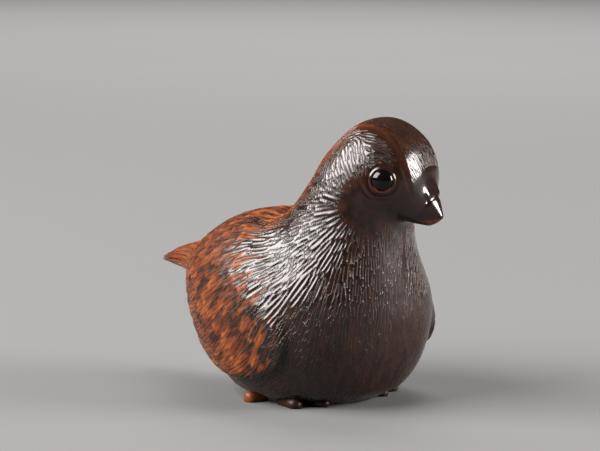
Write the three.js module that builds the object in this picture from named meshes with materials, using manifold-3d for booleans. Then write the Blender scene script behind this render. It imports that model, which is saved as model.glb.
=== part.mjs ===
// A netsuke: a small plump bird, carved from one block of wood, with two inlaid horn eyes.
// Millimetres, +Z up, +X to the bird's front, +Y to its left. The origin is on the ground,
// under the middle of the bird's box. The bird sits on its belly and turns its head to its left.
import * as THREE from 'three';
import { mergeVertices } from 'three/addons/utils/BufferGeometryUtils.js';
import Module from 'manifold-3d';

// Cross-sections from the beak to the tail. Each one spans from a point on the back line to a
// point on the breast line (both as x, z) and has a half width.
const SECTIONS = [
  { at: 'beak tip', back: [21.9, 26.0], breast: [21.7, 25.3], half: 0.4 },
  { at: 'beak', back: [21.3, 27.9], breast: [20.5, 24.5], half: 1.4 },
  { at: 'beak root', back: [20.6, 29.4], breast: [18.9, 24.6], half: 2.8 },
  { at: 'face', back: [20.0, 32.6], breast: [17.5, 24.9], half: 4.9 },
  { at: 'brow', back: [18.2, 36.0], breast: [16.9, 24.8], half: 6.2 },
  { at: 'crown', back: [14.5, 38.2], breast: [16.5, 24.2], half: 6.9 },
  { at: 'back of head', back: [10.2, 37.4], breast: [16.5, 23.2], half: 7.3 },
  { at: 'nape', back: [6.5, 34.1], breast: [16.6, 21.4], half: 7.6 },
  { at: 'neck', back: [4.0, 30.2], breast: [16.9, 18.5], half: 8.3 },
  { at: 'neck base', back: [1.4, 26.8], breast: [17.1, 15.2], half: 9.9 },
  { at: 'shoulder', back: [-1.8, 24.6], breast: [17.0, 11.2], half: 11.8 },
  { at: 'breast', back: [-5.9, 25.0], breast: [15.8, 6.3], half: 13.2 },
  { at: 'belly', back: [-10.3, 24.2], breast: [12.6, 1.5], half: 14.0 },
  { at: 'underside', back: [-14.4, 22.4], breast: [5.0, -3.2], half: 13.4 },
  { at: 'vent', back: [-17.2, 20.4], breast: [-4.9, -1.6], half: 10.4 },
  { at: 'rump', back: [-19.2, 19.2], breast: [-11.7, 3.0], half: 7.0 },
  { at: 'tail root', back: [-22.0, 18.9], breast: [-16.4, 9.4], half: 4.2 },
  { at: 'tail', back: [-25.3, 18.0], breast: [-22.6, 13.6], half: 3.0 },
  { at: 'tail blade', back: [-28.4, 16.8], breast: [-27.8, 14.8], half: 2.4 },
  { at: 'tail tip', back: [-30.6, 15.8], breast: [-30.6, 15.0], half: 1.2 },
];
const WIDEST_SHARE = 0.52; // how far down a section its widest place is
const FULLNESS = 2.25; // 2 gives oval sections, more gives squarer ones
const RINGS = 58;
const SIDES = 60;

// The head turns about an upright line in the neck, and the turn dies out down the neck.
const HEAD_TURN = THREE.MathUtils.degToRad(22);
const HEAD_PIVOT_X = 11;
const TURN_FULL_AT = 6; // section number, back of head
const TURN_NONE_AT = 10.5; // section number, below the shoulder

// A folded wing on each side stands proud of the body inside a curved lower and front edge.
const WING_RISE = 0.8;
const WING_EDGE = [1.0, 6.0]; // width of the slope at the edge, low down and at the shoulder
const WING_SHOULDER_Z = [9, 16]; // between these heights the edge softens
const WING_LOW_X = -1.0;
const WING_LOW_Z = 3.6;
const WING_LOW_CURVE = 0.026; // how fast the lower edge climbs to the front and to the tip
const WING_FRONT_X = { right: 9.5, left: 13.0 }; // the left wing is held a little forward
const WING_FRONT_Z = 12;
const WING_FRONT_CURVE = 0.03;
const WING_CORNER = 2.0; // rounding between the lower and the front edge
const WING_TOP_FADE = [0.35, 0.95]; // radians from the back line where the wing sinks into the back
const WING_TIP_FADE = [-24, -15]; // x where the wing sinks into the tail
const WING_FIRST_SECTION = 8; // the head and neck carry no wing

// Each foot lies under the belly with three toes that end at its rim.
const HEEL = [-0.6, 6.0];
const TOE_TIPS = [[8.2, 5.4], [6.5, 8.7], [-0.5, 10.0]];
const TOE_HEEL_RADIUS = 1.6;
const TOE_TIP_RADIUS = 1.2;
const TOE_SIDES = 10;
const TOE_CAP_STEPS = 3;
const TOE_HEIGHT = 0.5; // of a toe's middle line above the ground
const GROUND_DEPTH = 20; // of the block that cuts the underside flat

// A cord channel: two holes in the underside, joined inside by a half circle.
const CHANNEL_X = -0.6;
const CHANNEL_RADIUS = 4.2;
const CHANNEL_BORE = 1.8;
const CHANNEL_STEPS = 14;
const CHANNEL_SIDES = 14;
const KNOT_HOLE_RADIUS = 2.6; // the rear hole is wider and takes the cord's knot
const KNOT_HOLE_DEPTH = 4.0;
const CHANNEL_OVERRUN = 1.0; // below the ground plane, so the cut is clean

// Each eye is a domed plug in a round socket.
const EYE_SECTION = 4.65;
const EYE_ANGLE = THREE.MathUtils.degToRad(90); // from the back line, round the section
const EYE_RADIUS = 1.55;
const EYE_DOME = 0.75;
const EYE_PLUG_DEPTH = 0.9;
const EYE_SINK = 0.2; // of the dome's foot below the skin
const EYE_GAP = 0.25;
const EYE_SIDES = 20;
const EYE_DOME_STEPS = 5;
const SOCKET_REACH = 3; // of the cutter outside the skin

const wood = new THREE.MeshStandardMaterial({ color: 0x3a231a, roughness: 0.3, metalness: 0 });
const horn = new THREE.MeshStandardMaterial({ color: 0x0d0a09, roughness: 0.12, metalness: 0 });

const lastSection = SECTIONS.length - 1;
const backLine = new THREE.CatmullRomCurve3(
  SECTIONS.map(({ back }) => new THREE.Vector3(back[0], 0, back[1])),
  false,
  'catmullrom',
);
const breastLine = new THREE.CatmullRomCurve3(
  SECTIONS.map(({ breast }) => new THREE.Vector3(breast[0], 0, breast[1])),
  false,
  'catmullrom',
);
const halfWidths = new THREE.CatmullRomCurve3(
  SECTIONS.map(({ half }, i) => new THREE.Vector3(half, i, 0)),
  false,
  'catmullrom',
);

function rounded(value) {
  return Math.sign(value) * Math.abs(value) ** (2 / FULLNESS);
}

// A point of the plain body, by section number and by angle from the back line to the left.
function bodyPoint(section, angle) {
  const u = section / lastSection;
  const back = backLine.getPoint(u);
  const breast = breastLine.getPoint(u);
  const point = back.clone().lerp(breast, WIDEST_SHARE);
  const height = rounded(Math.cos(angle));
  const spoke = (height > 0 ? back : breast).clone().sub(point);
  point.addScaledVector(spoke, Math.abs(height));
  point.y = halfWidths.getPoint(u).x * rounded(Math.sin(angle));

  const turn = HEAD_TURN * (1 - THREE.MathUtils.smoothstep(section, TURN_FULL_AT, TURN_NONE_AT));
  const pivot = new THREE.Vector3(HEAD_PIVOT_X, 0, 0);
  return point.sub(pivot).applyAxisAngle(new THREE.Vector3(0, 0, 1), turn).add(pivot);
}

function bodyNormal(section, angle) {
  const step = 0.02;
  const along = bodyPoint(Math.min(section + step, lastSection), angle)
    .sub(bodyPoint(Math.max(section - step, 0), angle));
  const around = bodyPoint(section, angle + step).sub(bodyPoint(section, angle - step));
  return around.cross(along).normalize();
}

// How far inside the wing's edge a place is, seen from the side; below zero is outside.
function insideWing({ x, y, z }) {
  const above = z - WING_LOW_Z - WING_LOW_CURVE * (x - WING_LOW_X) ** 2;
  const front = y > 0 ? WING_FRONT_X.left : WING_FRONT_X.right;
  const behind = front - WING_FRONT_CURVE * (z - WING_FRONT_Z) ** 2 - x;
  const blend = Math.max(WING_CORNER - Math.abs(above - behind), 0);
  return Math.min(above, behind) - blend ** 2 / (4 * WING_CORNER);
}

function wingRise(section, angle, point) {
  if (section < WING_FIRST_SECTION) {
    return 0;
  }
  const fromBack = Math.PI - Math.abs(Math.PI - angle);
  const top = THREE.MathUtils.smoothstep(fromBack, ...WING_TOP_FADE);
  const tip = THREE.MathUtils.smoothstep(point.x, ...WING_TIP_FADE);
  const soft = THREE.MathUtils.smoothstep(point.z, ...WING_SHOULDER_Z);
  const width = THREE.MathUtils.lerp(...WING_EDGE, soft);
  const edge = THREE.MathUtils.smoothstep(insideWing(point), 0, width);
  return WING_RISE * top * tip * edge;
}

// The skin: a grid of rings from the beak to the tail, closed by a point at each end.
function skinGeometry() {
  const points = [];
  for (let ring = 0; ring <= RINGS; ring += 1) {
    const section = (ring / RINGS) * lastSection;
    for (let side = 0; side < SIDES; side += 1) {
      const angle = (side / SIDES) * 2 * Math.PI;
      const point = bodyPoint(section, angle);
      const rise = wingRise(section, angle, point);
      points.push(point.addScaledVector(bodyNormal(section, angle), rise));
    }
  }
  const corner = (ring, side) => ring * SIDES + (side % SIDES);
  const triangles = [];
  for (let ring = 0; ring < RINGS; ring += 1) {
    for (let side = 0; side < SIDES; side += 1) {
      const [a, b] = [corner(ring, side), corner(ring, side + 1)];
      const [c, d] = [corner(ring + 1, side + 1), corner(ring + 1, side)];
      triangles.push(a, b, c, a, c, d);
    }
  }
  for (const ring of [0, RINGS]) {
    const middle = new THREE.Vector3();
    for (let side = 0; side < SIDES; side += 1) {
      middle.addScaledVector(points[corner(ring, side)], 1 / SIDES);
    }
    const tip = points.push(middle) - 1;
    for (let side = 0; side < SIDES; side += 1) {
      const [a, b] = [corner(ring, side), corner(ring, side + 1)];
      triangles.push(tip, ...(ring === 0 ? [b, a] : [a, b]));
    }
  }
  const geometry = new THREE.BufferGeometry().setFromPoints(points);
  geometry.setIndex(triangles);
  return geometry;
}

// A tapered round-ended toe from the heel to its tip, lying just above the ground.
function toeGeometry(heel, tip) {
  const length = heel.distanceTo(tip);
  const profile = [];
  const cap = (middle, radius, from, to) => {
    for (let i = 0; i <= TOE_CAP_STEPS; i += 1) {
      const a = THREE.MathUtils.lerp(from, to, i / TOE_CAP_STEPS);
      profile.push(new THREE.Vector2(radius * Math.cos(a), middle + radius * Math.sin(a)));
    }
  };
  cap(0, TOE_HEEL_RADIUS, -Math.PI / 2, 0);
  cap(length, TOE_TIP_RADIUS, 0, Math.PI / 2);
  profile[0].x = 0;
  profile[profile.length - 1].x = 0;
  const toe = new THREE.LatheGeometry(profile, TOE_SIDES);
  const direction = tip.clone().sub(heel).normalize();
  const turn = new THREE.Quaternion().setFromUnitVectors(new THREE.Vector3(0, 1, 0), direction);
  return toe.applyQuaternion(turn).translate(heel.x, heel.y, heel.z);
}

function circleShape(radius) {
  return new THREE.Shape().absarc(0, 0, radius, 0, 2 * Math.PI);
}

// The half circle of the cord channel, from the front hole up and over to the rear one.
function channelGeometry() {
  const [front, rear] = [CHANNEL_X + CHANNEL_RADIUS, CHANNEL_X - CHANNEL_RADIUS];
  const points = [new THREE.Vector3(front, 0, -CHANNEL_OVERRUN)];
  for (let i = 0; i <= CHANNEL_STEPS; i += 1) {
    const a = (i / CHANNEL_STEPS) * Math.PI;
    const x = CHANNEL_X + CHANNEL_RADIUS * Math.cos(a);
    points.push(new THREE.Vector3(x, 0, CHANNEL_RADIUS * Math.sin(a)));
  }
  points.push(new THREE.Vector3(rear, 0, -CHANNEL_OVERRUN));
  return new THREE.ExtrudeGeometry(circleShape(CHANNEL_BORE), {
    curveSegments: CHANNEL_SIDES,
    steps: CHANNEL_STEPS,
    extrudePath: new THREE.CatmullRomCurve3(points),
  });
}

function knotHoleGeometry() {
  const height = KNOT_HOLE_DEPTH + CHANNEL_OVERRUN;
  const hole = new THREE.CylinderGeometry(CHANNEL_BORE, KNOT_HOLE_RADIUS, height, CHANNEL_SIDES);
  hole.rotateX(Math.PI / 2);
  return hole.translate(CHANNEL_X - CHANNEL_RADIUS, 0, height / 2 - CHANNEL_OVERRUN);
}

// Turns a shape whose axis is +Y so that it looks out of the head at an eye's place.
function placeAtEye(geometry, side) {
  const angle = side * EYE_ANGLE;
  const place = bodyPoint(EYE_SECTION, angle);
  const outward = bodyNormal(EYE_SECTION, angle);
  const turn = new THREE.Quaternion().setFromUnitVectors(new THREE.Vector3(0, 1, 0), outward);
  return geometry.applyQuaternion(turn).translate(place.x, place.y, place.z);
}

function socketGeometry(side) {
  const floor = -EYE_SINK - EYE_PLUG_DEPTH - EYE_GAP;
  const radius = EYE_RADIUS + EYE_GAP;
  const profile = [[0, floor], [radius, floor], [radius, SOCKET_REACH], [0, SOCKET_REACH]];
  const points = profile.map(([r, y]) => new THREE.Vector2(r, y));
  return placeAtEye(new THREE.LatheGeometry(points, EYE_SIDES), side);
}

function eyeGeometry(side) {
  const foot = -EYE_SINK - EYE_PLUG_DEPTH;
  const points = [new THREE.Vector2(0, foot), new THREE.Vector2(EYE_RADIUS, foot)];
  for (let i = 0; i <= EYE_DOME_STEPS; i += 1) {
    const a = (i / EYE_DOME_STEPS) * (Math.PI / 2);
    const radius = i === EYE_DOME_STEPS ? 0 : EYE_RADIUS * Math.cos(a);
    points.push(new THREE.Vector2(radius, EYE_DOME * Math.sin(a) - EYE_SINK));
  }
  return placeAtEye(new THREE.LatheGeometry(points, EYE_SIDES), side);
}

const wasm = await Module();
wasm.setup();

function solidOf(geometry) {
  const bare = geometry.clone();
  bare.deleteAttribute('normal');
  bare.deleteAttribute('uv');
  const merged = mergeVertices(bare, 1e-4);
  return new wasm.Manifold(new wasm.Mesh({
    numProp: 3,
    vertProperties: new Float32Array(merged.attributes.position.array),
    triVerts: new Uint32Array(merged.index.array),
  }));
}

function geometryOf(solid) {
  const mesh = solid.getMesh();
  const geometry = new THREE.BufferGeometry();
  geometry.setAttribute('position', new THREE.BufferAttribute(mesh.vertProperties, 3));
  geometry.setIndex(new THREE.BufferAttribute(mesh.triVerts, 1));
  geometry.computeVertexNormals();
  return geometry;
}

function birdGeometry() {
  let bird = solidOf(skinGeometry());
  for (const side of [-1, 1]) {
    const heel = new THREE.Vector3(HEEL[0], side * HEEL[1], TOE_HEIGHT);
    for (const [x, y] of TOE_TIPS) {
      bird = bird.add(solidOf(toeGeometry(heel, new THREE.Vector3(x, side * y, TOE_HEIGHT))));
    }
    bird = bird.subtract(solidOf(socketGeometry(side)));
  }
  bird = bird.subtract(solidOf(channelGeometry())).subtract(solidOf(knotHoleGeometry()));
  const reach = 100;
  const ground = new THREE.BoxGeometry(reach, reach, GROUND_DEPTH).translate(0, 0, -GROUND_DEPTH / 2);
  return geometryOf(bird.subtract(solidOf(ground)));
}

function namedMesh(name, geometry, material) {
  const mesh = new THREE.Mesh(geometry, material);
  mesh.name = name;
  return mesh;
}

const netsuke = new THREE.Group();
netsuke.add(namedMesh('bird', birdGeometry(), wood));
netsuke.add(namedMesh('eye_right', eyeGeometry(-1), horn));
netsuke.add(namedMesh('eye_left', eyeGeometry(1), horn));

const box = new THREE.Box3().setFromObject(netsuke);
const middle = box.getCenter(new THREE.Vector3());
netsuke.position.set(-middle.x, -middle.y, -box.min.z);

export default netsuke;
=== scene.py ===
import math

import bpy
import numpy as np
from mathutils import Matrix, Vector, kdtree


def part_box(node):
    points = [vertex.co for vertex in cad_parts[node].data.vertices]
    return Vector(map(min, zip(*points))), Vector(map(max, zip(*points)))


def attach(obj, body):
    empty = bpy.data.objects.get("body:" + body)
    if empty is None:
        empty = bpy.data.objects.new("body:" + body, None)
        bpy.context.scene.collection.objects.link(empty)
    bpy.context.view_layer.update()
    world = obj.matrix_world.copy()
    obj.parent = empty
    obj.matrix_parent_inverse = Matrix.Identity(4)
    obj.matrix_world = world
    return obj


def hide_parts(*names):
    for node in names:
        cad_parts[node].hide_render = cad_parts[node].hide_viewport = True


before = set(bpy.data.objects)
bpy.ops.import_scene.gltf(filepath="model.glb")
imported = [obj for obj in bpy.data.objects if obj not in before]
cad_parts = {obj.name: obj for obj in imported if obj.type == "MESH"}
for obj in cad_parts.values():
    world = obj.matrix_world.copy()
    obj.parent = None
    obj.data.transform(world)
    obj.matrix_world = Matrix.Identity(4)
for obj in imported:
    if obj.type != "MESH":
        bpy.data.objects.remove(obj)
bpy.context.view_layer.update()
mm = 0.001
print("frame loaded:", sorted(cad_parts))

# the carver's block: cross-sections from beak to tail, as in the solid (mm)
birdForm = {
    "sections": [  # name, back line x z, breast line x z, half width
        ("beak tip", 21.9, 26.0, 21.7, 25.3, 0.4),
        ("beak", 21.3, 27.9, 20.5, 24.5, 1.4),
        ("beak root", 20.6, 29.4, 18.9, 24.6, 2.8),
        ("face", 20.0, 32.6, 17.5, 24.9, 4.9),
        ("brow", 18.2, 36.0, 16.9, 24.8, 6.2),
        ("crown", 14.5, 38.2, 16.5, 24.2, 6.9),
        ("back of head", 10.2, 37.4, 16.5, 23.2, 7.3),
        ("nape", 6.5, 34.1, 16.6, 21.4, 7.6),
        ("neck", 4.0, 30.2, 16.9, 18.5, 8.3),
        ("neck base", 1.4, 26.8, 17.1, 15.2, 9.9),
        ("shoulder", -1.8, 24.6, 17.0, 11.2, 11.8),
        ("breast", -5.9, 25.0, 15.8, 6.3, 13.2),
        ("belly", -10.3, 24.2, 12.6, 1.5, 14.0),
        ("underside", -14.4, 22.4, 5.0, -3.2, 13.4),
        ("vent", -17.2, 20.4, -4.9, -1.6, 10.4),
        ("rump", -19.2, 19.2, -11.7, 3.0, 7.0),
        ("tail root", -22.0, 18.9, -16.4, 9.4, 4.2),
        ("tail", -25.3, 18.0, -22.6, 13.6, 3.0),
        ("tail blade", -28.4, 16.8, -27.8, 14.8, 2.4),
        ("tail tip", -30.6, 15.8, -30.6, 15.0, 1.2),
    ],
    "widestShare": 0.52,  # how far down a section its widest place is
    "fullness": 2.25,  # 2 is oval, more is squarer
    "headTurn": math.radians(22),  # to the bird's left
    "pivotX": 11.0,
    "turnFades": (6.0, 10.5),  # section numbers, back of head to below the shoulder
    "segments": 470,
    "rings": [(0, 20), (2, 10), (3.3, 24), (5.0, 26), (6.3, 50), (9.3, 52), (15, 14)],  # from section, rings
    "capRings": 3,  # rings that round off the beak tip and the tail tip
    "capLength": 0.25,
    "undercut": 2.0,  # the belly's rim is cut under, close to the table
    "undercutZ": (0.1, 1.9),
}
sectionTable = np.array([row[1:] for row in birdForm["sections"]])
lastSection = len(sectionTable) - 1
tailTipX = sectionTable[-1][0]
frameShift = np.array([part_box("bird")[0].x / mm - tailTipX, 0.0, 0.0])  # carver's zero to the frame's


def smoothStep(value, low, high):
    share = np.clip((value - low) / (high - low), 0.0, 1.0)
    return share * share * (3.0 - 2.0 * share)


def ridge(distance, width):  # a soft line of height 1
    return np.exp(-((distance / width) ** 2))


def sectionAt(section):  # smooth curve through the section table
    first = np.clip(np.floor(section).astype(int), 0, lastSection - 1)
    share = (section - first)[:, None]
    padded = np.vstack([2 * sectionTable[0] - sectionTable[1], sectionTable,
                        2 * sectionTable[-1] - sectionTable[-2]])
    before, here, there, after = (padded[first + step] for step in range(4))
    return 0.5 * (2 * here + (there - before) * share
                  + (2 * before - 5 * here + 4 * there - after) * share ** 2
                  + (3 * here - before - 3 * there + after) * share ** 3)


def rounded(value):
    return np.sign(value) * np.abs(value) ** (2.0 / birdForm["fullness"])


def turnHead(points, section):  # about an upright line in the neck
    turn = birdForm["headTurn"] * (1.0 - smoothStep(section, *birdForm["turnFades"]))
    x = points[:, 0] - birdForm["pivotX"]
    y = points[:, 1]
    turned = points.copy()
    turned[:, 0] = birdForm["pivotX"] + x * np.cos(turn) - y * np.sin(turn)
    turned[:, 1] = x * np.sin(turn) + y * np.cos(turn)
    return turned


def bodyPoints(section, angle):  # plain skin by section number and angle from the back line
    values = sectionAt(section)
    back, breast, half = values[:, 0:2], values[:, 2:4], values[:, 4]
    middle = back + (breast - back) * birdForm["widestShare"]
    height = rounded(np.cos(angle))[:, None]
    flat = middle + np.where(height > 0, back - middle, breast - middle) * np.abs(height)
    points = np.column_stack([flat[:, 0], half * rounded(np.sin(angle)), flat[:, 1]])
    return turnHead(points, section)


def unit(vectors):
    return vectors / np.maximum(np.linalg.norm(vectors, axis=-1, keepdims=True), 1e-9)


def alongSkin(section, angle, step=0.02):  # direction from beak to tail
    ahead = bodyPoints(np.minimum(section + step, lastSection), angle)
    return unit(ahead - bodyPoints(np.maximum(section - step, 0.0), angle))


def bodyNormals(section, angle, step=0.02):
    around = bodyPoints(section, angle + step) - bodyPoints(section, angle - step)
    return unit(np.cross(around, alongSkin(section, angle)))


def onePoint(section, angle):
    place = np.array([section]), np.array([angle])
    return bodyPoints(*place)[0], bodyNormals(*place)[0]


def sphereToSkin(coords):  # reads each sphere vertex as ring number and angle
    rings = sum(count for start, count in birdForm["rings"]) + 2 * birdForm["capRings"]
    radius = np.linalg.norm(coords, axis=1)
    ring = np.rint(np.arccos(np.clip(coords[:, 2] / radius, -1, 1)) / math.pi * rings)
    angle = -np.arctan2(coords[:, 1], coords[:, 0])
    steps = np.cumsum([birdForm["capRings"]] + [count for start, count in birdForm["rings"]])
    starts = [start for start, count in birdForm["rings"]] + [lastSection]
    section = np.interp(ring, steps, starts)
    cap = birdForm["capRings"]
    fromEnd = np.minimum(np.minimum(ring, rings - ring) / cap, 1.0)
    return section, angle, np.sin(fromEnd * math.pi / 2), ring < rings / 2


def closeEnds(points, section, angle, shrink, atBeak):  # rounds off the two ends
    opposite = bodyPoints(section, angle + math.pi)
    middle = 0.5 * (points + opposite)
    inward = alongSkin(section, angle)
    push = birdForm["capLength"] * np.sqrt(1.0 - shrink ** 2) * np.where(atBeak, -1.0, 1.0)
    return middle + (points - middle) * shrink[:, None] + inward * push[:, None]


# the folded wings, the same edge as in the solid but crisper
wing = {
    "rise": 0.8,
    "edge": (0.6, 6.0),  # slope width low down and at the shoulder
    "shoulderZ": (9.0, 16.0),
    "lowX": -1.0,
    "lowZ": 3.6,
    "lowCurve": 0.026,
    "frontRight": 9.5,
    "frontLeft": 13.0,
    "frontZ": 12.0,
    "frontCurve": 0.03,
    "corner": 2.0,
    "topFade": (0.35, 0.95),
    "tipFade": (-24.0, -15.0),
    "firstSection": 8.0,
}


def insideWing(points):  # mm inside the wing's edge, seen from the side
    x, y, z = points.T
    above = z - wing["lowZ"] - wing["lowCurve"] * (x - wing["lowX"]) ** 2
    front = np.where(y > 0, wing["frontLeft"], wing["frontRight"])
    behind = front - wing["frontCurve"] * (z - wing["frontZ"]) ** 2 - x
    blend = np.maximum(wing["corner"] - np.abs(above - behind), 0.0)
    return np.minimum(above, behind) - blend ** 2 / (4 * wing["corner"])


def wingRise(points, section, fromBack):
    top = smoothStep(fromBack, *wing["topFade"]) * smoothStep(points[:, 0], *wing["tipFade"])
    soft = smoothStep(points[:, 2], *wing["shoulderZ"])
    width = wing["edge"][0] + (wing["edge"][1] - wing["edge"][0]) * soft
    edge = smoothStep(insideWing(points) / width, 0.0, 1.0)
    return wing["rise"] * top * edge * (section >= wing["firstSection"])


# small overlapping feathers on the wings and back
feathers = {
    "row": 0.36,  # of a section, about 1.7 mm
    "width": 0.115,  # radians, about 1.5 mm
    "reach": 1.5,  # rows that one feather covers
    "roundTip": 0.35,
    "rise": 0.2,
    "flightPitch": 1.45,  # mm between the long feathers along the wing's lower edge
    "flightReach": 4.4,
    "flightRise": 0.22,
    "tailWidth": 0.5,  # radians
    "tailRise": 0.16,
}


def featherRows(section, fromBack, side):  # height, rim and tint, all 0 to 1
    place = section / feathers["row"]
    height = np.zeros_like(place)
    rim = np.zeros_like(place)
    tint = np.zeros_like(place)
    for overlap in (0, 1):  # the row nearer the head lies on top
        row = np.floor(place) - overlap
        column = fromBack / feathers["width"] + 0.5 * (row % 2)
        across = column - np.floor(column) - 0.5
        tip = feathers["reach"] * (1.0 - feathers["roundTip"] * (2 * across) ** 2)
        along = place - row
        mine = along < tip
        height = np.where(mine, along / feathers["reach"], height)
        rim = np.where(mine, 1.0 - smoothStep(tip - along, 0.05, 0.5), rim)
        seed = np.sin(row * 12.9898 + np.floor(column) * 78.233 + side * 37.719) * 43758.5453
        tint = np.where(mine, seed - np.floor(seed), tint)
    return height, rim, tint


# head: eyes, lids, brow and beak
head = {
    "eyeSection": 4.65,
    "eyeAngle": math.radians(90),
    "socketRadius": 1.38,
    "socketDepth": 0.75,
    "lidRadius": 1.56,
    "lidWidth": 0.16,
    "lidRise": 0.12,
    "lidCrease": 1.84,
    "lidFold": 2.3,
    "browAt": (3.0, 68.0, 16.7),  # section, degrees there, degrees less per section
    "crownRise": 0.12,
    "cere": (1.9, 0.66),  # section and angle of the knob over each nostril
    "nostril": (1.62, 0.98),
    "mouth": (104.0, 7.0),  # degrees at the tip, degrees more per section
    "mouthEnd": 1.3,
    "beakCrease": (1.15, 1.3),  # section at the top, sections more at the throat
    "forehead": 2.5,  # section of the dip between forehead and beak
    "eyeReach": 4.5,  # lids and folds stay within this
    "foldGap": 0.4,
    "jawInset": 0.1,
}
faceCuts = {  # height or depth, and half width
    "lidCrease": (0.07, 0.15),
    "lidFold": (0.06, 0.2),
    "cere": (0.2, 0.55),
    "nostril": (-0.16, 0.26),
    "brow": (0.04, 0.09),
    "beakCrease": (0.09, 0.16),
    "forehead": (0.03, 0.3),
    "mouth": (0.11, 0.16),
}
eyes = {side: onePoint(head["eyeSection"], side * head["eyeAngle"]) for side in (-1, 1)}


def browLine(section):
    start, degrees, fall = head["browAt"]
    return np.radians(degrees - fall * (section - start))


def eyeDistance(points, side):  # across the face from the eye's middle
    centre, outward = eyes[side]
    offset = points - centre
    return np.linalg.norm(offset - (offset @ outward)[:, None] * outward, axis=1), offset


def mouthLine(section):
    start, more = head["mouth"]
    return np.radians(start + more * section)


def faceCut(name, distance):
    height, width = faceCuts[name]
    return height * ridge(distance, width)


def faceRelief(points, section, fromBack):
    relief = np.zeros(len(points))
    for side in (-1, 1):
        across, offset = eyeDistance(points, side)
        near = np.linalg.norm(offset, axis=1) < head["eyeReach"]
        lower = smoothStep(-offset[:, 2], 0.2, 1.8)
        lid = head["lidRise"] * ridge(across - head["lidRadius"], head["lidWidth"])
        lid -= faceCut("lidCrease", across - head["lidCrease"])
        lid += lower * faceCut("lidFold", across - head["lidFold"])
        lid -= lower * faceCut("lidFold", across - head["lidFold"] - head["foldGap"])
        socket = 1 - smoothStep(across, head["socketRadius"] - 0.3, head["socketRadius"])
        relief += np.where(near, lid - head["socketDepth"] * socket, 0.0)
        for name in ("cere", "nostril"):
            centre = onePoint(head[name][0], side * head[name][1])[0]
            relief += faceCut(name, np.linalg.norm(points - centre, axis=1))
    brow = browLine(section)
    onHead = smoothStep(section, 2.4, 3.1) * (1 - smoothStep(section, 5.2, 6.6))
    relief += head["crownRise"] * onHead * smoothStep(brow - fromBack, -0.12, 0.14)
    relief -= onHead * faceCut("brow", fromBack - brow - 0.08)
    first, more = head["beakCrease"]
    crease = faceCut("beakCrease", section - first - more * fromBack / math.pi)
    relief -= crease * (1 - smoothStep(fromBack, 1.7, 2.3))
    dip = faceCut("forehead", section - head["forehead"])
    relief -= dip * (1 - smoothStep(fromBack, 0.8, 1.2))
    belowMouth = (fromBack - mouthLine(section)) * np.maximum(sectionAt(section)[:, 4], 0.3)
    onBeak = 1 - smoothStep(section, head["mouthEnd"] - 0.4, head["mouthEnd"])
    relief -= onBeak * faceCut("mouth", belowMouth) * smoothStep(section, 0.0, 0.3)
    jaw = onBeak * smoothStep(belowMouth, 0.0, 0.3) * smoothStep(section, 0.2, 1.0)
    return relief - head["jawInset"] * jaw


# engraved strokes: every one is traced over the skin and cut as a tapered groove
strokes = {
    "seed": 7,
    "step": 0.16,
    "fanX": 14.6,  # they spread from a line through both cheeks, turned with the head
    "fanTurn": 0.405,
    "fanZ": 27.5,
    "cheekClear": (2.7, 6.0),  # smooth round that line, full depth further out
    "crown": (0.18, 0.02, 2.6),  # spacing, depth and length
    "plume": (0.35, 0.19, 4.0),
    "chestLess": (0.04, 0.16, 1.2),  # so much less of each on the breast
    "headLess": (0.07, 0.11),
    "wingShallower": 0.5,
    "wingShorter": 1.8,
    "halfWidth": 0.17,
    "shortest": 5,  # steps
    "wander": 0.07,
    "darkAt": 0.045,  # shallower cuts hold less stain
    "farOff": 0.5,  # mm from any stroke, or more
    "fadeOff": 0.2,  # added where a stroke has no dark line
    "plain": 0.1,  # tint where nothing is engraved
}


farAway = 9.0  # mm, past every limit on the head


def fanSpokes(points):  # from the line through the cheeks, no sideways part
    spokes = np.zeros_like(points)
    spokes[:, 0] = points[:, 0] - strokes["fanX"] + strokes["fanTurn"] * np.clip(points[:, 1], -6, 6)
    spokes[:, 2] = points[:, 2] - strokes["fanZ"]
    return spokes


def strokeZones(points, section, fromBack, wingZone):  # spacing, depth and length for every vertex
    brow = browLine(section)
    crown = (1 - smoothStep(fromBack - brow, -0.2, -0.1)) * smoothStep(section, 2.6, 3.0)
    crown *= 1 - smoothStep(section, 5.6, 6.4)
    eyeClear = np.ones(len(points))
    for side in (-1, 1):
        otherSide = np.sign(points[:, 1]) == -side
        eyeClear *= smoothStep(eyeDistance(points, side)[0] + farAway * otherSide, 2.2, 2.4)
    overEye = smoothStep(section, 4.0, 4.3) * (fromBack < 1.5)
    plume = np.maximum(smoothStep(section - 0.4 * smoothStep(fromBack, 1.4, 2.0), 4.7, 5.2), overEye)
    plume *= (1 - crown) * eyeClear
    plume *= smoothStep(fromBack - brow, 0.08, 0.2) + smoothStep(section, 5.6, 6.2)
    offCheek = (fromBack < 0.9) | (fromBack > 2.4)
    cheek = np.linalg.norm(fanSpokes(points), axis=1) + farAway * offCheek
    plume = np.clip(plume, 0, 1) * (points[:, 2] > 0.35) * (cheek > strokes["cheekClear"][0])
    chest = smoothStep(fromBack, 1.7, 2.3) * smoothStep(section, 6.0, 7.5)
    onHead = 1 - smoothStep(section, 6.5, 8.0)
    onCrown = crown > 0.5
    gap, deep, long = strokes["plume"]
    chestLess, headLess = strokes["chestLess"], strokes["headLess"]
    spacing = np.where(plume > 0.5, gap - chestLess[0] * chest - headLess[0] * onHead, 0.0)
    depth = deep - chestLess[1] * chest - headLess[1] * onHead * (1 - chest)
    length = long - chestLess[2] * chest - strokes["wingShorter"] * wingZone
    spacing = np.where(onCrown, strokes["crown"][0], spacing)
    depth = np.where(onCrown, strokes["crown"][1], depth) * (1 - strokes["wingShallower"] * wingZone)
    length = np.where(onCrown, strokes["crown"][2], length)
    return spacing, depth * smoothStep(cheek, *strokes["cheekClear"]), length


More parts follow.
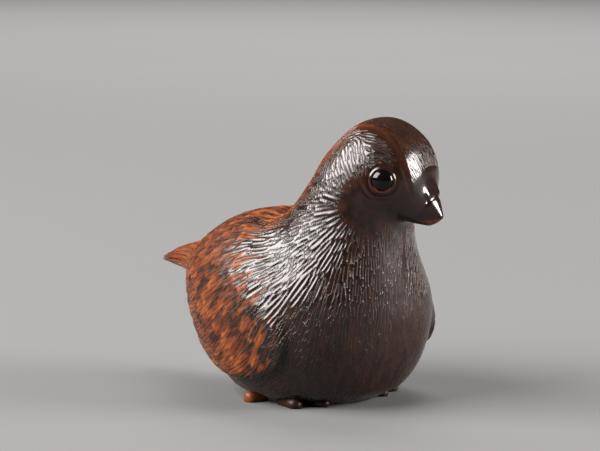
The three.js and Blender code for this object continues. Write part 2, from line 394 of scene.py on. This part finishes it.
def strokeFlow(points, normals, section, angle, fromBack):
    down = alongSkin(section, angle)
    fan = unit(fanSpokes(points))
    share = smoothStep(fromBack, 0.5, 1.0) * (1 - smoothStep(section, 12.5, 14.5))
    share *= smoothStep(section, 5.0, 5.7)
    fan -= (fan * normals).sum(1)[:, None] * normals
    return unit(share[:, None] * fan + (1 - share)[:, None] * down)


def cutStrokes(points, normals, flow, spacing, depth, length):
    rng = np.random.default_rng(strokes["seed"])
    tree = kdtree.KDTree(len(points))
    for index, point in enumerate(points):
        tree.insert(point, index)
    tree.balance()
    skin = [Vector(point) for point in points]
    up = [Vector(normal) for normal in normals]
    way = [Vector(direction) for direction in flow]
    taken = np.zeros(len(points), bool)
    groove = np.zeros(len(points))
    streak = np.full(len(points), strokes["plain"])
    closest = np.full(len(points), strokes["farOff"])
    aside = np.full(len(points), strokes["farOff"])
    total = 0
    for start in rng.permutation(np.nonzero(spacing)[0]):
        if taken[start]:
            continue
        steps = int(length[start] * rng.uniform(0.6, 1.3) / strokes["step"] / 2)
        sway = rng.normal(0, strokes["wander"])
        path = [skin[start]]
        under = [start]
        for heading in (1, -1):
            point = skin[start]
            here = start
            for count in range(steps):
                side = up[here].cross(way[here])
                point = point + (way[here] + side * sway) * (heading * strokes["step"])
                here = tree.find(point)[1]
                if spacing[here] == 0 or taken[here]:
                    break
                point = point - up[here] * (point - skin[here]).dot(up[here])
                if heading == 1:
                    path.append(point)
                    under.append(here)
                else:
                    path.insert(0, point)
                    under.insert(0, here)
        if len(path) < strokes["shortest"]:
            continue
        total += 1
        gap = spacing[start]
        width = min(strokes["halfWidth"], gap * 0.75)
        tint = rng.uniform(0, 1)
        for count, point in enumerate(path):
            taper = math.sqrt(math.sin(math.pi * (count + 0.6) / (len(path) + 0.2)))
            across = up[under[count]].cross(way[under[count]])
            for near, index, distance in tree.find_range(point, gap):
                taken[index] = True
                if distance < closest[index]:
                    closest[index] = distance
                    streak[index] = tint
                    aside[index] = (near - point).dot(across)
                if distance < width:
                    cut = taper * (1 - (distance / width) ** 2)
                    groove[index] = max(groove[index], cut)
    print("strokes cut:", total)
    full = np.clip(depth / strokes["darkAt"], 0, 1)
    return groove * full, groove * depth, streak, aside, closest + strokes["fadeOff"] * (1 - full)


def deselectAll():
    bpy.ops.object.select_all(action="DESELECT")


def setFloats(mesh, name, values):
    layer = mesh.attributes.new(name, "FLOAT", "POINT")
    layer.data.foreach_set("value", np.asarray(values, np.float32))


# how far the stain is rubbed back: 0 is near black, 1 is bare wood
tints = {
    "ground": 0.01,
    "head": 0.04,
    "stroke": 0.15,  # each stroke differs by up to this
    "brow": (0.1, 0.1),  # at the forehead, more towards the nape
    "browWidth": 0.085,
    "nape": 0.36,
    "chin": 0.3,
    "wing": 0.24,
    "wingStroke": 0.22,
    "featherRim": 0.16,
    "feather": 0.24,
    "tail": 0.4,
    "belly": 0.14,
    "lidCorner": 0.4,
    "lidWidth": 0.18,
}


def stainTints(points, section, fromBack, rubbed, streak, rim, tint):
    brow = browLine(section)
    onHead = smoothStep(section, 2.6, 3.4) * (1 - smoothStep(section, 6.0, 6.8))
    redder = tints["brow"][0] + tints["brow"][1] * smoothStep(section, 4.0, 5.6)
    nape = (1 - smoothStep(fromBack, 0.5, 1.0)) * smoothStep(section, 5.4, 6.6)
    nape *= 1 - smoothStep(section, 9.6, 11.0)
    chin = smoothStep(fromBack - mouthLine(section), 0.0, 0.2) * (1 - smoothStep(section, 1.6, 2.4))
    warm = tints["ground"] + tints["head"] * onHead + tints["stroke"] * streak
    warm += redder * onHead * ridge(fromBack - brow + 0.02, tints["browWidth"])
    warm += tints["nape"] * nape + tints["chin"] * chin
    worn = tints["wing"] + tints["wingStroke"] * (streak - 0.5)
    worn += tints["featherRim"] * rim + tints["feather"] * (tint - 0.5)
    warm += rubbed * worn
    for side in (-1, 1):
        across, offset = eyeDistance(points, side)
        corner = smoothStep(-offset[:, 2], 0.2, 1.2) * (np.linalg.norm(offset, axis=1) < 2.4)
        warm += tints["lidCorner"] * corner * ridge(across - head["socketRadius"], tints["lidWidth"])
    return warm


def makeBird():
    deselectAll()
    rings = sum(count for start, count in birdForm["rings"]) + 2 * birdForm["capRings"]
    bpy.ops.mesh.primitive_uv_sphere_add(segments=birdForm["segments"], ring_count=rings, radius=1)
    bird = bpy.context.active_object
    bird.name = "carvedBird"
    mesh = bird.data
    coords = np.empty(len(mesh.vertices) * 3)
    mesh.vertices.foreach_get("co", coords)
    section, angle, shrink, atBeak = sphereToSkin(coords.reshape(-1, 3))
    fromBack = np.abs(angle)
    side = np.sign(angle)
    points = bodyPoints(section, angle)
    normals = bodyNormals(section, angle)
    print("skin vertices:", len(points))

    inside = insideWing(points)
    ragged = 0.16 * np.sin(fromBack * 31) * np.sin(section * 17)
    border = 10.0 + 1.3 * (fromBack / (math.pi / 2)) ** 2 + ragged  # where dark breast turns to rubbed wing
    above = np.maximum(smoothStep(inside, 0.0, 0.5), 1 - smoothStep(fromBack, 1.2, 1.5))
    wingZone = smoothStep(section - border, 0.0, 0.35) * above * (1 - smoothStep(section, 15.6, 16.6))
    height, rim, tint = featherRows(section, fromBack, side)
    flight = smoothStep(-points[:, 0], 1.0, 6.0) * (inside < feathers["flightReach"]) * (inside > 0)
    flight *= (fromBack > 0.9) * wingZone
    band = inside / feathers["flightPitch"]
    blade = band - np.floor(band)
    tail = smoothStep(section, 15.8, 17.0)
    quill = (fromBack / feathers["tailWidth"]) % 1.0

    relief = wingRise(points, section, fromBack) + faceRelief(points, section, fromBack)
    relief += feathers["rise"] * (height - 0.5) * wingZone * (1 - flight)
    relief += feathers["flightRise"] * (blade - 0.5) * flight
    relief += feathers["tailRise"] * (quill - 0.5) * tail
    shaped = points + normals * relief[:, None]

    spacing, depth, length = strokeZones(points, section, fromBack, wingZone)
    flow = strokeFlow(points, normals, section, angle, fromBack)
    groove, cutDepth, streak, aside, closest = cutStrokes(shaped, normals, flow, spacing, depth, length)
    shaped -= normals * cutDepth[:, None]
    shaped = closeEnds(shaped, section, angle, shrink, atBeak)
    lifted = birdForm["undercut"] * (1 - smoothStep(shaped[:, 2], *birdForm["undercutZ"]))
    shaped[:, :2] -= normals[:, :2] * lifted[:, None]
    shaped[:, 2] = np.maximum(shaped[:, 2], 0.0)  # the flat that it sits on
    mesh.vertices.foreach_set("co", ((shaped + frameShift) * mm).ravel())
    mesh.update()

    lower = smoothStep(section, 12.2, 14.5) * (1 - wingZone) * (1 - tail)
    rubbed = smoothStep(section - border + 1.3 * (streak - 0.5), -0.3, 0.6) * above * (1 - tail)
    warm = stainTints(points, section, fromBack, rubbed, streak, rim, tint)
    warm += tints["tail"] * tail + tints["belly"] * lower
    midBreast = fromBack > 3.1  # no dark line where both sides meet
    setFloats(mesh, "warm", np.clip(warm, 0, 1))
    setFloats(mesh, "cut", groove)
    setFloats(mesh, "rubbed", rubbed)
    setFloats(mesh, "aside", aside)
    setFloats(mesh, "closest", closest + strokes["fadeOff"] * midBreast)
    bpy.ops.object.shade_smooth()
    print("bird shaped")
    return bird


# toes under the belly's rim
toes = {
    "heel": (-0.6, 6.0),
    # third number is each toe's tint: the two front toes are painted near black, painted shade under the
    # belly's rim
    "tips": [(8.2, 5.4, 0.0), (6.5, 8.7, 0.0), (-0.5, 10.0, 0.4)],  # the outer toe is rubbed lighter
    "heelRadius": 1.6,
    "tipRadius": 1.2,
    "height": 0.5,
    "segments": 20,
    "rings": 20,
    "joints": 3,  # soft swellings along a toe
    # painted shade: darkens every toe towards the cut stain, so the toes sit dark under the belly
    "paintedShade": 0.9,
}


def makeToe(heelPlace, tipPlace, tone):
    deselectAll()
    bpy.ops.mesh.primitive_uv_sphere_add(segments=toes["segments"], ring_count=toes["rings"], radius=1)
    toe = bpy.context.active_object
    heel = np.array(heelPlace + (toes["height"],))
    tip = np.array(tipPlace + (toes["height"],))
    length = np.linalg.norm(tip - heel)
    forward = (tip - heel) / length
    sideways = np.cross((0, 0, 1), forward)
    coords = np.empty(len(toe.data.vertices) * 3)
    toe.data.vertices.foreach_get("co", coords)
    ball = coords.reshape(-1, 3)
    share = np.clip(ball[:, 2] * 0.5 + 0.5, 0, 1)
    radius = toes["heelRadius"] + (toes["tipRadius"] - toes["heelRadius"]) * share
    radius = radius * (1 + 0.07 * np.cos(share * toes["joints"] * 2 * math.pi))
    profile = np.minimum(np.sqrt(np.clip(1 - ball[:, 2] ** 6, 0, 1)), 1.0)
    around = np.arctan2(ball[:, 1], ball[:, 0])
    reach = -toes["heelRadius"] + share * (length + toes["heelRadius"] + toes["tipRadius"])
    points = heel + reach[:, None] * forward
    points = points + (radius * profile * np.cos(around))[:, None] * sideways
    points[:, 2] += radius * profile * np.sin(around)
    points[:, 2] = np.maximum(points[:, 2], 0.0)
    toe.data.vertices.foreach_set("co", ((points + frameShift) * mm).ravel())
    # each toe is lighter towards its tip
    setFloats(toe.data, "warm", tone + 0.15 * share)
    # on the toes 'cut' marks no groove: it is painted shade, darkening them under the belly's rim
    setFloats(toe.data, "cut", np.full(len(points), toes["paintedShade"]))
    setFloats(toe.data, "rubbed", np.ones(len(points)))
    setFloats(toe.data, "aside", np.full(len(points), strokes["farOff"]))
    setFloats(toe.data, "closest", np.full(len(points), strokes["farOff"]))
    bpy.ops.object.mode_set(mode="EDIT")
    bpy.ops.mesh.select_all(action="SELECT")
    bpy.ops.mesh.normals_make_consistent(inside=False)
    bpy.ops.object.mode_set(mode="OBJECT")
    bpy.ops.object.shade_smooth()
    return toe


# cord channel in the underside: two holes joined inside
channel = {
    "x": -0.6,
    "radius": 4.2,
    "bore": 1.8,
    "knotHole": 2.6,
    "knotDepth": 4.0,
    "below": 1.0,
    "steps": 32,
}


def cutChannel(bird):
    deselectAll()
    x = (channel["x"] + frameShift[0]) * mm
    bpy.ops.mesh.primitive_torus_add(location=(x, 0, 0), rotation=(math.pi / 2, 0, 0),
                                     major_radius=channel["radius"] * mm, minor_radius=channel["bore"] * mm,
                                     major_segments=64, minor_segments=channel["steps"])
    ring = bpy.context.active_object
    depth = channel["knotDepth"] + channel["below"]
    rear = (x - channel["radius"] * mm, 0, (depth / 2 - channel["below"]) * mm)
    bpy.ops.mesh.primitive_cone_add(vertices=channel["steps"], depth=depth * mm, location=rear,
                                    radius1=channel["knotHole"] * mm, radius2=channel["bore"] * mm)
    hole = bpy.context.active_object
    for cutter in (ring, hole):
        deselectAll()
        bird.select_set(True)
        bpy.context.view_layer.objects.active = bird
        drill = bird.modifiers.new("drill", "BOOLEAN")
        drill.operation = "DIFFERENCE"
        drill.object = cutter
        drill.solver = "EXACT"
        bpy.ops.object.modifier_apply(modifier=drill.name)
        bpy.data.objects.remove(cutter)
    print("cord channel cut")


def joinToes(bird):
    made = []
    for side in (-1, 1):
        heel = (toes["heel"][0], side * toes["heel"][1])
        made += [makeToe(heel, (x, side * y), tone) for x, y, tone in toes["tips"]]
    deselectAll()
    for toe in made:
        toe.select_set(True)
    bird.select_set(True)
    bpy.context.view_layer.objects.active = bird
    bpy.ops.object.join()
    print("toes joined:", len(made))


# inlaid eyes: a domed plug that fills the socket
eyePlug = {
    "radius": 1.4,
    "dome": 0.75,
    "back": 0.75,
    "sink": 0.2,
    "segments": 64,
    "rings": 40,
}


def makeEye(side, name):
    deselectAll()
    bpy.ops.mesh.primitive_uv_sphere_add(segments=eyePlug["segments"], ring_count=eyePlug["rings"], radius=1)
    eye = bpy.context.active_object
    eye.name = name
    centre, outward = eyes[side]
    sideways = unit(np.cross((0, 0, 1), outward))
    upward = np.cross(outward, sideways)
    coords = np.empty(len(eye.data.vertices) * 3)
    eye.data.vertices.foreach_get("co", coords)
    ball = coords.reshape(-1, 3)
    deep = np.where(ball[:, 2] > 0, eyePlug["dome"], eyePlug["back"])
    points = centre + (ball[:, 2] * deep - eyePlug["sink"])[:, None] * outward
    points = points + eyePlug["radius"] * (ball[:, 0:1] * sideways + ball[:, 1:2] * upward)
    eye.data.vertices.foreach_set("co", ((points + frameShift) * mm).ravel())
    eye.data.update()
    bpy.ops.object.shade_smooth()
    return eye


def linear(code):  # sRGB hex to linear colour
    parts = [int(code[place:place + 2], 16) / 255 for place in (1, 3, 5)]
    return [c / 12.92 if c <= 0.04045 else ((c + 0.055) / 1.055) ** 2.4 for c in parts] + [1.0]


def addNode(tree, kind, settings, inputs):
    node = tree.nodes.new(kind)
    for name, value in settings.items():
        setattr(node, name, value)
    for name, value in inputs.items():
        if isinstance(value, bpy.types.NodeSocket):
            tree.links.new(value, node.inputs[name])
        else:
            node.inputs[name].default_value = value
    return node


def newMaterial(name):
    material = bpy.data.materials.new(name)
    material.use_nodes = True
    tree = material.node_tree
    return material, tree, tree.nodes["Principled BSDF"]


# boxwood, carved, stained near black and rubbed back on the wings: glossy, with dark lines in the cuts
wood = {
    "stops": [(0.0, "#130a07"), (0.2, "#2a160d"), (0.4, "#4f2613"), (0.65, "#6f3c1e"), (1.0, "#905a35")],
    "cutStain": "#0c0706",
    "mottle": 1.1,  # mm
    "grain": 0.16,  # mm across the fine barbs
    "line": (0.025, 0.09),  # mm from a stroke's middle, black to clear
    "lineEnds": (0.13, 0.2),
    "lineDepth": 0.05,  # mm
    "lineStain": (0.7, 0.45),  # on dark ground, less where it is rubbed
    "cutSoak": 0.3,  # stain held on the slopes of a cut
    "roughness": 0.17,
    "cutRoughness": 0.3,
    "rubbedRoughness": 0.2,
    "rubbedDull": 0.32,
}


def strokeLine(tree):  # 1 in the middle of a stroke, finer than the mesh
    parts = []
    for name, limits in (("aside", wood["line"]), ("closest", wood["lineEnds"])):
        away = addNode(tree, "ShaderNodeAttribute", {"attribute_name": name}, {})
        away = addNode(tree, "ShaderNodeMath", {"operation": "ABSOLUTE"}, {0: away.outputs["Fac"]})
        near = addNode(tree, "ShaderNodeMapRange", {"interpolation_type": "SMOOTHSTEP"},
                       {"Value": away.outputs[0], "From Min": limits[0], "From Max": limits[1],
                        "To Min": 1.0, "To Max": 0.0})
        parts.append(near.outputs["Result"])
    line = addNode(tree, "ShaderNodeMath", {"operation": "MULTIPLY"}, {0: parts[0], 1: parts[1]})
    return line.outputs[0]


def stainedBoxwood():
    material, tree, shader = newMaterial("stainedPolishedBoxwood")
    warm = addNode(tree, "ShaderNodeAttribute", {"attribute_name": "warm"}, {}).outputs["Fac"]
    cut = addNode(tree, "ShaderNodeAttribute", {"attribute_name": "cut"}, {}).outputs["Fac"]
    place = addNode(tree, "ShaderNodeTexCoord", {}, {}).outputs["Object"]
    mottle = addNode(tree, "ShaderNodeTexNoise", {},
                     {"Vector": place, "Scale": 1 / (wood["mottle"] * mm), "Detail": 5.0, "Roughness": 0.65})
    shift = addNode(tree, "ShaderNodeMath", {"operation": "MULTIPLY_ADD"},
                    {0: mottle.outputs["Fac"], 1: 0.36, 2: -0.18})
    tone = addNode(tree, "ShaderNodeMath", {"operation": "ADD", "use_clamp": True},
                   {0: warm, 1: shift.outputs[0]})
    ramp = addNode(tree, "ShaderNodeValToRGB", {}, {"Fac": tone.outputs[0]})
    stops = ramp.color_ramp.elements
    while len(stops) < len(wood["stops"]):
        stops.new(0.5)
    for stop, (position, code) in zip(stops, wood["stops"]):
        stop.position = position
        stop.color = linear(code)
    line = strokeLine(tree)
    rubbed = addNode(tree, "ShaderNodeAttribute", {"attribute_name": "rubbed"}, {}).outputs["Fac"]
    onDark, lessRubbed = wood["lineStain"]
    held = addNode(tree, "ShaderNodeMath", {"operation": "MULTIPLY_ADD"},
                   {0: rubbed, 1: -lessRubbed, 2: onDark})
    # on the toes the 'cut' attribute is painted shade, not stain in a groove
    soaked = addNode(tree, "ShaderNodeMath", {"operation": "MULTIPLY"}, {0: cut, 1: wood["cutSoak"]})
    stain = addNode(tree, "ShaderNodeMath", {"operation": "MULTIPLY_ADD", "use_clamp": True},
                    {0: line, 1: held.outputs[0], 2: soaked.outputs[0]})
    colour = addNode(tree, "ShaderNodeMix", {"data_type": "RGBA"},
                     {0: stain.outputs[0], 6: ramp.outputs["Color"], 7: linear(wood["cutStain"])})
    tree.links.new(colour.outputs[2], shader.inputs["Base Color"])
    dull = addNode(tree, "ShaderNodeMath", {"operation": "MULTIPLY_ADD"},
                   {0: line, 1: wood["cutRoughness"], 2: wood["roughness"]})
    rough = addNode(tree, "ShaderNodeMath", {"operation": "MULTIPLY_ADD"},
                    {0: rubbed, 1: wood["rubbedRoughness"], 2: dull.outputs[0]})
    tree.links.new(rough.outputs[0], shader.inputs["Roughness"])
    grain = addNode(tree, "ShaderNodeTexNoise", {},
                    {"Vector": place, "Scale": 1 / (wood["grain"] * mm), "Detail": 2.0})
    bump = addNode(tree, "ShaderNodeBump", {},
                   {"Strength": 0.25, "Distance": 0.02 * mm, "Height": grain.outputs["Fac"]})
    lineBump = addNode(tree, "ShaderNodeBump", {"invert": True},
                       {"Strength": 0.8, "Distance": wood["lineDepth"] * mm,
                        "Height": line, "Normal": bump.outputs["Normal"]})
    tree.links.new(lineBump.outputs["Normal"], shader.inputs["Normal"])
    shine = addNode(tree, "ShaderNodeMath", {"operation": "MULTIPLY_ADD"},
                    {0: rubbed, 1: -wood["rubbedDull"], 2: 0.5})
    tree.links.new(shine.outputs[0], shader.inputs["Specular IOR Level"])
    shader.inputs["IOR"].default_value = 1.43
    return material


# black horn, turned and polished: a hard window highlight and a little amber depth
horn = {"core": "#040303", "amber": "#0b0605", "depth": 0.9}


def polishedHorn():
    material, tree, shader = newMaterial("polishedBlackHorn")
    place = addNode(tree, "ShaderNodeTexCoord", {}, {}).outputs["Object"]
    cloud = addNode(tree, "ShaderNodeTexNoise", {}, {"Vector": place, "Scale": 1 / (horn["depth"] * mm)})
    colour = addNode(tree, "ShaderNodeMix", {"data_type": "RGBA"},
                     {0: cloud.outputs["Fac"], 6: linear(horn["core"]), 7: linear(horn["amber"])})
    tree.links.new(colour.outputs[2], shader.inputs["Base Color"])
    shader.inputs["Roughness"].default_value = 0.07
    shader.inputs["IOR"].default_value = 1.32
    return material


# grey paper, matt
def greyPaper():
    material, tree, shader = newMaterial("mattGreyPaper")
    shader.inputs["Base Color"].default_value = linear("#545556")
    shader.inputs["Roughness"].default_value = 0.9
    shader.inputs["Specular IOR Level"].default_value = 0.2
    return material


# camera and studio, from the photograph's viewpoint
studio = {
    "turn": math.radians(42),  # bird's front to the camera, towards its right
    "rise": math.radians(9),
    "distance": 330.0,  # mm to the target
    "target": (0.0, 0.0, 13.0),
    "focal": 2428.7,  # pixels
    "imageWidth": 600.0,
    "targetPixel": (310.6, 297.9),
    "imageMiddle": (300.0, 225.5),
    "sensor": 36.0,
}
turn, rise = studio["turn"], studio["rise"]
toCamera = np.array([math.cos(turn) * math.cos(rise), -math.sin(turn) * math.cos(rise), math.sin(rise)])
toRight = np.array([math.sin(turn), math.cos(turn), 0.0])
toTop = np.cross(toCamera, toRight)


def makeCamera():
    target = np.array(studio["target"]) + frameShift
    pixel = studio["distance"] / studio["focal"]
    aside = (studio["imageMiddle"][0] - studio["targetPixel"][0]) * pixel
    above = (studio["targetPixel"][1] - studio["imageMiddle"][1]) * pixel
    aim = Vector((target + toRight * aside + toTop * above) * mm)
    place = Vector((target + toCamera * studio["distance"]) * mm)
    bpy.ops.object.camera_add(location=place)
    camera = bpy.context.active_object
    camera.rotation_euler = (aim - place).to_track_quat("-Z", "Y").to_euler()
    camera.data.sensor_width = studio["sensor"]
    camera.data.sensor_fit = "HORIZONTAL"
    camera.data.lens = studio["focal"] / studio["imageWidth"] * studio["sensor"]
    camera.data.clip_start = 0.01
    bpy.context.scene.camera = camera


# direction as right, towards the camera and up; distance and size in m; watts; seen in the polish
softboxes = {
    "left": ((-0.80, 0.22, 0.58), 0.6, (0.60, 0.42), 19.0, True),
    "right": ((0.95, 0.12, 0.26), 0.55, (0.26, 0.26), 10.5, True),
    "far": ((0.0, -1.0, 1.0), 1.41, (1.4, 0.9), 36.0, False),
}
farSpread = math.radians(115)  # keeps the far light on the paper behind the bird
lampColour = (1.0, 0.955, 0.92)
worldGrey = 0.05


def makeStudio():
    level = np.array([math.cos(turn), -math.sin(turn), 0.0])
    middle = (np.array(studio["target"]) + frameShift) * mm
    for name, (way, distance, size, watts, glossy) in softboxes.items():
        direction = unit(way[0] * toRight + way[1] * level + way[2] * np.array([0, 0, 1.0]))
        place = Vector(middle + direction * distance)
        bpy.ops.object.light_add(type="AREA", location=place)
        light = bpy.context.active_object
        light.name = "softbox_" + name
        facing = Vector(direction) if glossy else Vector((0, 0, 1))
        light.rotation_euler = facing.to_track_quat("Z", "Y").to_euler()
        light.data.shape = "RECTANGLE"
        light.data.size, light.data.size_y = size
        light.data.energy = watts
        light.data.color = lampColour
        light.visible_glossy = glossy
        light.data.spread = math.pi if glossy else farSpread
    world = bpy.data.worlds.new("studio")
    world.use_nodes = True
    background = world.node_tree.nodes["Background"]
    background.inputs["Color"].default_value = (worldGrey, worldGrey, worldGrey, 1)
    bpy.context.scene.world = world
    bpy.context.scene.view_settings.view_transform = "Standard"
    deselectAll()
    bpy.ops.mesh.primitive_plane_add(size=6)
    floor = bpy.context.active_object
    floor.name = "paperFloor"
    floor.data.materials.append(greyPaper())


makeCamera()
bird = makeBird()
cutChannel(bird)
joinToes(bird)
bird.data.materials.clear()
bird.data.materials.append(stainedBoxwood())
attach(bird, "root")
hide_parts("bird")

hornMaterial = polishedHorn()
for side, node, name in ((-1, "eye_right", "hornEyeRight"), (1, "eye_left", "hornEyeLeft")):
    eye = makeEye(side, name)
    eye.data.materials.append(hornMaterial)
    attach(eye, "root")
    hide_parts(node)
print("eyes set")

makeStudio()
print("studio set")
